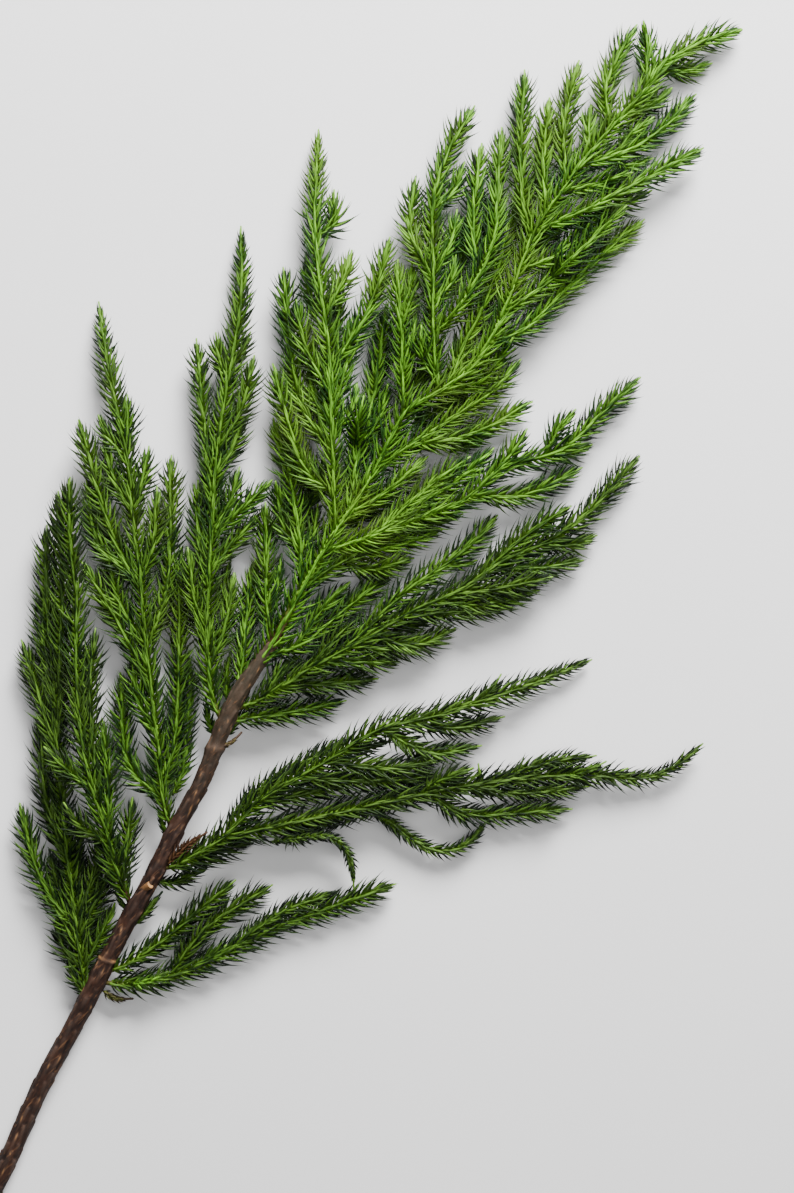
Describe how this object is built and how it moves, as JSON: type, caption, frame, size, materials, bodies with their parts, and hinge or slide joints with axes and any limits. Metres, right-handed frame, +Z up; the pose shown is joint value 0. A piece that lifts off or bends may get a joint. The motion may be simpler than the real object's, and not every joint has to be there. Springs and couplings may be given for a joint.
{
  "type": "pine branch",
  "caption": "Cut conifer branch lying flat: a bare woody stem that carries on as a green leader, with sprays of short-needled twigs on both sides.",
  "frame": {"origin": "under the middle of the branch's box, on the table it lies on", "axes": "+Z up from the table, +Y along the longer side of the box, from the cut end towards the tip of the branch, +X to the right seen from above"},
  "size_m": [0.3828, 0.593, 0.0304],
  "materials": {
    "bark": "rough",
    "needles": "satin"
  },
  "bodies": {
    "root": {"stem": "bark", "leader": "needles", "limb_left_1": "needles", "limb_left_2": "needles", "limb_left_3": "needles", "limb_left_4": "needles", "twig_left_5": "needles", "twig_left_6": "needles", "limb_left_7": "needles", "limb_left_8": "needles", "limb_left_9": "needles", "limb_left_10": "needles", "limb_left_11": "needles", "limb_left_12": "needles", "twig_left_13": "needles", "twig_left_14": "needles", "twig_left_15": "needles", "twig_left_16": "needles", "limb_left_17": "needles", "twig_left_18": "needles", "limb_right_1": "needles", "twig_right_2": "needles", "limb_right_3": "needles", "limb_right_4": "needles", "limb_right_5": "needles", "limb_right_6": "needles", "twig_right_7": "needles", "twig_right_8": "needles", "twig_right_9": "needles", "limb_right_10": "needles", "limb_right_11": "needles", "limb_right_12": "needles", "twig_right_13": "needles", "limb_right_14": "needles", "limb_right_15": "needles", "twig_right_16": "needles", "limb_right_17": "needles", "limb_right_18": "needles", "twig_right_19": "needles", "twig_right_20": "needles", "twig_right_21": "needles", "twig_right_22": "needles", "twig_left_23": "needles", "twig_right_24": "needles"}
  },
  "joints": []
}
